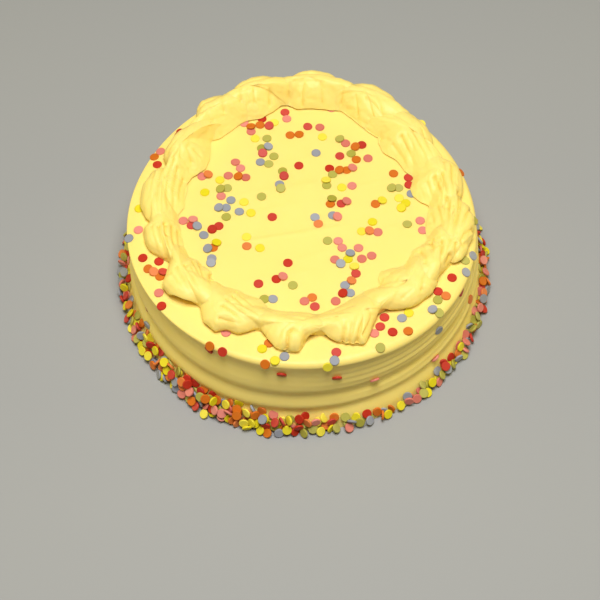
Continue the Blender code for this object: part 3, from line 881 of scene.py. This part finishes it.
# lay a disc flat on the top, or leaning on the disc it would otherwise lie in
def layDisc(discs, colour, x, y):
    place, normal = groundAt(discs.bodyTree, x, y)
    if place is None or place.z < icedBody["topHeight"] - 4.0 * mm:
        return False
    for tree in discs.shellTrees:
        beside = tree.find_nearest(place, 0.6 * confetti["radius"])[0]
        if beside is not None or groundAt(tree, x, y)[0] is not None:
            return False
    tilt = Vector((draw.gauss(0.0, confetti["tilt"]), draw.gauss(0.0, confetti["tilt"]), 0.0))
    facing = (normal + tilt).normalized()
    middle = place + normal * (confetti["thickness"] / 2.0 - confetti["press"])
    if not discs.clash(middle, facing):
        discs.add(colour, middle, facing)
        return True
    others = discs.near(middle, 2.0 * confetti["radius"])
    ways = [Vector(discs.middles[other]) - middle for other in others]
    towards = min(ways, key=lambda way: way.length)
    towards.z = 0.0
    apart = towards.length
    if apart < 1.1 * confetti["radius"]:
        return False
    rise = math.asin(min(0.6, confetti["thickness"] / apart))
    upwards = Vector((0.0, 0.0, 1.0))
    facing = Matrix.Rotation(rise, 3, towards.normalized().cross(upwards)) @ upwards
    lift = confetti["radius"] * math.sin(rise) + confetti["leanClearance"]
    middle = middle + lift * upwards
    if discs.clash(middle, facing):
        return False
    discs.add(colour, middle, facing)
    return True


def scatterCluster(discs, x, y, spread, colours):
    for colour in colours.split():
        for attempt in range(confetti["tries"]):
            reach = spread * (1.0 + 0.04 * attempt) * mm
            if layDisc(discs, colour, x + draw.gauss(0.0, reach), y + draw.gauss(0.0, reach)):
                break


# stick a disc on the side or the foot: it moves outwards until it is clear of the discs behind it
def stickDisc(discs, colour, azimuth, height, facing, furthest):
    turn = math.radians(azimuth)
    lean = facing.angle(onCircle(1.0, azimuth, 0.0))
    depth = confetti["radius"] * math.sin(lean) * 0.35 + confetti["thickness"] / 2.0 * math.cos(lean)
    start = float(wallRadius(np.array(height), turn)) + depth - confetti["press"]
    spokes = rimSpokes(facing)
    moved = 0.0
    while moved < furthest:
        middle = onCircle(start + moved, azimuth, height)
        if not discs.clash(middle, facing, spokes):
            discs.add(colour, middle, facing)
            return True
        moved += confetti["step"]
    return False


# 1 where the foot's discs lie deepest, falling to 0 away from there
def footPile(azimuth):
    return math.exp(-((azimuth - confetti["footPile"]) / confetti["pileReach"]) ** 2)


# how full and high the foot's band is, about 0.3 to 1.1
def footShare(azimuth):
    turn = math.radians(azimuth)
    waves = 0.25 * math.sin(turn * 2.0 + 0.6) + 0.12 * math.sin(turn * 7.0)
    return 0.70 + waves + 0.32 * footPile(azimuth)


# the discs partly under the border
def tuckConfetti(discs):
    for x, y, colour in confetti["tucked"]:
        place, normal = groundAt(discs.bodyTree, x * mm, y * mm)
        middle = place + normal * (confetti["thickness"] / 2.0 - confetti["press"])
        discs.add(colour, middle, normal)


# the few discs on the side
def dotSide(discs):
    for azimuth, height, upwards, colour in confetti["side"]:
        azimuthFaced = azimuth + draw.uniform(-12, 12)
        facing = onCircle(1.0, azimuthFaced, upwards + draw.uniform(-0.2, 0.3)).normalized()
        stickDisc(discs, colour, azimuth, height * mm, facing, 2.0 * mm)


# the band round the foot
def fillFoot(discs):
    names = [name for name, share in confetti["footShares"].items() for _ in range(share)]
    radius = confetti["radius"]
    placed = 0
    for attempt in range(6 * confetti["footDiscs"]):
        if placed == confetti["footDiscs"]:
            break
        azimuth = draw.uniform(0.0, 360.0)
        share = footShare(azimuth)
        if draw.random() > share:
            continue
        azimuthFaced = azimuth + draw.gauss(0.0, confetti["footTurn"])
        facing = onCircle(1.0, azimuthFaced, draw.gauss(0.55, 0.5)).normalized()
        lowest = radius * math.sqrt(1.0 - facing.z ** 2) + 0.5 * confetti["thickness"] * abs(facing.z)
        height = lowest + 0.1 * mm + confetti["footHeight"] * share * draw.random() ** 1.7
        depth = np.interp(footPile(azimuth), (0.0, 1.0), confetti["footDepths"])
        if stickDisc(discs, draw.choice(names), azimuth, height, facing, depth):
            placed += 1
    return placed


def scatterConfetti(body, shells):
    discs = Discs(body, shells)
    tuckConfetti(discs)
    for x, y, spread, colours in confetti["top"]:
        scatterCluster(discs, x * mm, y * mm, spread, colours)
    inside = len(discs.colours)
    for azimuth, radius, spread, colours in confetti["ledge"]:
        place = onCircle(radius * mm, azimuth, 0.0)
        scatterCluster(discs, place.x, place.y, spread, colours)
    ledge = len(discs.colours) - inside
    dotSide(discs)
    placed = fillFoot(discs)
    print("confetti:", inside, "on the top,", ledge, "on the ledge,", placed, "round the foot")
    return discs


# one mesh for each colour, joined from copies of the disc
def makeConfetti(discs, finish):
    corners, faces = confettiDisc()
    pieces = []
    for colour, paint in confetti["colours"].items():
        places, tones, joined = [], [], []
        for number, name in enumerate(discs.colours):
            if name != colour:
                continue
            turned = Vector(discs.facings[number]).to_track_quat("Z", "Y").to_matrix()
            turned = np.array(turned @ Matrix.Rotation(draw.uniform(0.0, math.pi), 3, "Z"))
            joined += [[corner + len(corners) * len(places) for corner in face] for face in faces]
            places.append(corners @ turned.T + discs.middles[number])
            tones += [draw.random()] * len(corners)
        mesh = bpy.data.meshes.new("confetti_" + colour)
        mesh.from_pydata(np.vstack(places).tolist(), [], joined)
        piece = newObject("confetti_" + colour, mesh)
        paintPoints(piece, "tone", tones)
        material = finishedMaterial("sugar " + colour, finish, "tone", {"Colour": paint},
                                    {"Specular IOR Level": pressedSugar["shine"]})
        mesh.materials.append(material)
        selectOnly(piece)
        bpy.ops.object.shade_smooth_by_angle(angle=math.radians(40))
        pieces.append(piece)
    return pieces


# studio

studio = {
    "eye": (-2.323 * mm, -0.541215, 0.791198),
    "look": (0.0, 0.55153167, -0.83415395),
    "roll": -0.011,
    "sensor": 36.0,
    "lens": 102.08,
    "keyPlace": (0.01, -0.20, 1.11),
    "keySize": 0.45,
    "keyPower": 13.7,
    "fillPlace": (0.88, 0.02, 0.20),  # and its mirror image at the other side
    "fillSize": 0.5,
    "fillPower": 2.45,
    "fillColour": (1.0, 0.88, 0.30),
    "air": 0.10,
    "airColour": (1.0, 0.95, 0.70),
    "floorColour": (0.34, 0.34, 0.335),
}


def makeCamera():
    view = bpy.data.cameras.new("camera")
    view.sensor_width = studio["sensor"]
    view.lens = studio["lens"]
    camera = newObject("camera", view)
    turned = Vector(studio["look"]).to_track_quat("-Z", "Y").to_matrix()
    camera.location = studio["eye"]
    camera.rotation_euler = (turned @ Matrix.Rotation(studio["roll"], 3, "Z")).to_euler()
    bpy.context.scene.camera = camera


def makeLamp(name, place, size, power, colour):
    light = bpy.data.lights.new(name, "AREA")
    light.size = size
    light.energy = power
    light.color = colour
    lamp = newObject(name, light)
    lamp.location = place
    lamp.rotation_euler = (-Vector(place)).to_track_quat("-Z", "Y").to_euler()


def makeLights():
    makeLamp("key", studio["keyPlace"], studio["keySize"], studio["keyPower"], (1.0, 1.0, 1.0))
    x, y, z = studio["fillPlace"]
    for name, place in (("fill right", (x, y, z)), ("fill left", (-x, y, z))):
        makeLamp(name, place, studio["fillSize"], studio["fillPower"], studio["fillColour"])
    world = bpy.data.worlds.new("studio")
    world.use_nodes = True
    air = world.node_tree.nodes["Background"].inputs
    air["Strength"].default_value = studio["air"]
    air["Color"].default_value = (*studio["airColour"], 1.0)
    bpy.context.scene.world = world
    bpy.context.scene.view_settings.view_transform = "Standard"
    print("studio: a camera and three lights")


def makeFloor():
    deselectAll()
    bpy.ops.mesh.primitive_plane_add(size=6.0, location=(0.0, 0.0, 0.0))
    floor = bpy.context.object
    floor.name = "floor"
    material = bpy.data.materials.new("floor")
    material.use_nodes = True
    shader = material.node_tree.nodes["Principled BSDF"]
    shader.inputs["Base Color"].default_value = (*studio["floorColour"], 1.0)
    shader.inputs["Roughness"].default_value = 0.9
    floor.data.materials.append(material)


def main():
    makeCamera()
    makeLights()
    makeFloor()
    cream = creamFinish()
    sugar = sugarFinish()
    body = makeIcedBody(icingMaterial("iced side and top", cream, 0.5))
    shells = makeBorder(icingMaterial("piped icing", cream, 0.0))
    discs = scatterConfetti(body, shells)
    pieces = makeConfetti(discs, sugar)
    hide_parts("iced_cake")
    for number, shell in enumerate(shells):
        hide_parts(f"shell_{number + 1:02d}")
    for piece in pieces:
        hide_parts("iced_cake")
    for piece in [body, *shells, *pieces]:
        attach(piece, "root")


main()
